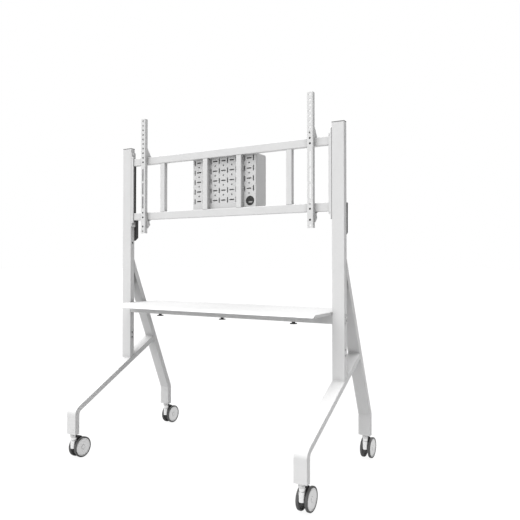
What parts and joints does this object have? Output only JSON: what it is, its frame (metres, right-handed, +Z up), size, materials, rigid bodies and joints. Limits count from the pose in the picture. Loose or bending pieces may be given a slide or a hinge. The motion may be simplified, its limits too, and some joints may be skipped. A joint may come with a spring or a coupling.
{
  "type": "mobile tv stand",
  "caption": "Wheeled floor stand for a large screen: columns on splayed legs, rails with screen brackets, a device box, a shelf and braked casters.",
  "frame": {"origin": "on the floor under the middle of the stand's footprint", "axes": "+Z up, -Y is the side the screen faces, +X is the right-hand column seen from the front"},
  "size_m": [1.3296, 0.823, 1.755],
  "materials": {
    "white_paint": "fine white powder coat",
    "black_paint": "fine black powder coat",
    "black_plastic": "matte moulded black",
    "grey_plastic": "matte moulded grey",
    "bright_steel": "bright zinc",
    "pale_metal": "satin pale grey paint",
    "grey_tyre": "matte grey tread on a pale core"
  },
  "bodies": {
    "uprights": {"column_left": "white_paint", "column_right": "white_paint", "column_cap_left": "grey_plastic", "column_cap_right": "grey_plastic", "front_leg_left": "white_paint", "front_leg_right": "white_paint", "rear_leg_left": "white_paint", "rear_leg_right": "white_paint", "foot_plug_front_left": "grey_plastic", "foot_plug_front_right": "grey_plastic", "foot_plug_rear_left": "grey_plastic", "foot_plug_rear_right": "grey_plastic"},
    "rail_frame": {"top_rail": "white_paint", "bottom_rail": "white_paint", "upright_bar_1": "white_paint", "upright_bar_2": "white_paint", "upright_bar_3": "white_paint", "upright_bar_4": "white_paint", "end_plate_left": "white_paint", "end_plate_right": "white_paint", "carriage_left": "black_paint", "carriage_right": "black_paint", "frame_bolt_lower_left": "bright_steel", "frame_bolt_upper_left": "bright_steel", "frame_bolt_lower_right": "bright_steel", "frame_bolt_upper_right": "bright_steel", "box_front_panel": "white_paint", "box_casing": "white_paint", "cable_grommet": "black_plastic"},
    "bracket_left": {"screen_bracket_left": "white_paint"},
    "bracket_right": {"screen_bracket_right": "white_paint"},
    "latch_left": {"bracket_latch_left": "white_paint"},
    "latch_right": {"bracket_latch_right": "white_paint"},
    "rear_door": {"box_door": "white_paint", "door_lock": "bright_steel"},
    "shelf": {"shelf_tray": "white_paint", "shelf_beam": "white_paint", "shelf_knob_1": "black_plastic", "shelf_knob_2": "black_plastic", "shelf_knob_3": "black_plastic", "shelf_bolt_upper_left": "bright_steel", "shelf_bolt_lower_left": "bright_steel", "shelf_bolt_upper_right": "bright_steel", "shelf_bolt_lower_right": "bright_steel"},
    "caster_front_left": {"caster_yoke_front_left": "pale_metal"},
    "caster_front_right": {"caster_yoke_front_right": "pale_metal"},
    "caster_rear_left": {"caster_yoke_rear_left": "pale_metal"},
    "caster_rear_right": {"caster_yoke_rear_right": "pale_metal"},
    "pedal_front_left": {"brake_pedal_front_left": "black_plastic"},
    "pedal_front_right": {"brake_pedal_front_right": "black_plastic"},
    "pedal_rear_left": {"brake_pedal_rear_left": "black_plastic"},
    "pedal_rear_right": {"brake_pedal_rear_right": "black_plastic"},
    "wheel_front_left_left": {"wheel_front_left_left": "grey_tyre"},
    "wheel_front_left_right": {"wheel_front_left_right": "grey_tyre"},
    "wheel_front_right_left": {"wheel_front_right_left": "grey_tyre"},
    "wheel_front_right_right": {"wheel_front_right_right": "grey_tyre"},
    "wheel_rear_left_left": {"wheel_rear_left_left": "grey_tyre"},
    "wheel_rear_left_right": {"wheel_rear_left_right": "grey_tyre"},
    "wheel_rear_right_left": {"wheel_rear_right_left": "grey_tyre"},
    "wheel_rear_right_right": {"wheel_rear_right_right": "grey_tyre"}
  },
  "joints": [
    {"name": "frame_height", "type": "slide", "parent": "uprights", "child": "rail_frame", "axis": [0, 0, 1], "range_m": [-0.1, 0]},
    {"name": "shelf_height", "type": "slide", "parent": "uprights", "child": "shelf", "axis": [0, 0, 1], "range_m": [-0.15, 0]},
    {"name": "bracket_slide_left", "type": "slide", "parent": "rail_frame", "child": "bracket_left", "axis": [1, 0, 0], "range_m": [-0.045, 0.4]},
    {"name": "bracket_slide_right", "type": "slide", "parent": "rail_frame", "child": "bracket_right", "axis": [1, 0, 0], "range_m": [-0.4, 0.045]},
    {"name": "latch_swing_left", "type": "hinge", "parent": "bracket_left", "child": "latch_left", "pos_m": [-0.5, -0.0051, 1.181], "axis": [-1, 0, 0], "range_deg": [0, 40]},
    {"name": "latch_swing_right", "type": "hinge", "parent": "bracket_right", "child": "latch_right", "pos_m": [0.5, -0.0051, 1.181], "axis": [-1, 0, 0], "range_deg": [0, 40]},
    {"name": "door_swing", "type": "hinge", "parent": "rail_frame", "child": "rear_door", "pos_m": [-0.1715, 0.1078, 1.3765], "axis": [0, 0, 1], "range_deg": [0, 110]},
    {"name": "swivel_front_left", "type": "hinge", "parent": "uprights", "child": "caster_front_left", "pos_m": [-0.63, -0.3975, 0.123], "axis": [0, 0, 1], "continuous": true},
    {"name": "swivel_front_right", "type": "hinge", "parent": "uprights", "child": "caster_front_right", "pos_m": [0.63, -0.3975, 0.123], "axis": [0, 0, 1], "continuous": true},
    {"name": "swivel_rear_left", "type": "hinge", "parent": "uprights", "child": "caster_rear_left", "pos_m": [-0.63, 0.3175, 0.123], "axis": [0, 0, 1], "continuous": true},
    {"name": "swivel_rear_right", "type": "hinge", "parent": "uprights", "child": "caster_rear_right", "pos_m": [0.63, 0.3175, 0.123], "axis": [0, 0, 1], "continuous": true},
    {"name": "pedal_press_front_left", "type": "hinge", "parent": "caster_front_left", "child": "pedal_front_left", "pos_m": [-0.63, -0.3715, 0.078], "axis": [-1, 0, 0], "range_deg": [0, 9]},
    {"name": "pedal_press_front_right", "type": "hinge", "parent": "caster_front_right", "child": "pedal_front_right", "pos_m": [0.63, -0.3715, 0.078], "axis": [-1, 0, 0], "range_deg": [0, 9]},
    {"name": "pedal_press_rear_left", "type": "hinge", "parent": "caster_rear_left", "child": "pedal_rear_left", "pos_m": [-0.63, 0.3435, 0.078], "axis": [-1, 0, 0], "range_deg": [0, 9]},
    {"name": "pedal_press_rear_right", "type": "hinge", "parent": "caster_rear_right", "child": "pedal_rear_right", "pos_m": [0.63, 0.3435, 0.078], "axis": [-1, 0, 0], "range_deg": [0, 9]},
    {"name": "spin_front_left_left", "type": "hinge", "parent": "caster_front_left", "child": "wheel_front_left_left", "pos_m": [-0.63, -0.3535, 0.05], "axis": [1, 0, 0], "continuous": true},
    {"name": "spin_front_left_right", "type": "hinge", "parent": "caster_front_left", "child": "wheel_front_left_right", "pos_m": [-0.63, -0.3535, 0.05], "axis": [1, 0, 0], "continuous": true},
    {"name": "spin_front_right_left", "type": "hinge", "parent": "caster_front_right", "child": "wheel_front_right_left", "pos_m": [0.63, -0.3535, 0.05], "axis": [1, 0, 0], "continuous": true},
    {"name": "spin_front_right_right", "type": "hinge", "parent": "caster_front_right", "child": "wheel_front_right_right", "pos_m": [0.63, -0.3535, 0.05], "axis": [1, 0, 0], "continuous": true},
    {"name": "spin_rear_left_left", "type": "hinge", "parent": "caster_rear_left", "child": "wheel_rear_left_left", "pos_m": [-0.63, 0.3615, 0.05], "axis": [1, 0, 0], "continuous": true},
    {"name": "spin_rear_left_right", "type": "hinge", "parent": "caster_rear_left", "child": "wheel_rear_left_right", "pos_m": [-0.63, 0.3615, 0.05], "axis": [1, 0, 0], "continuous": true},
    {"name": "spin_rear_right_left", "type": "hinge", "parent": "caster_rear_right", "child": "wheel_rear_right_left", "pos_m": [0.63, 0.3615, 0.05], "axis": [1, 0, 0], "continuous": true},
    {"name": "spin_rear_right_right", "type": "hinge", "parent": "caster_rear_right", "child": "wheel_rear_right_right", "pos_m": [0.63, 0.3615, 0.05], "axis": [1, 0, 0], "continuous": true}
  ]
}
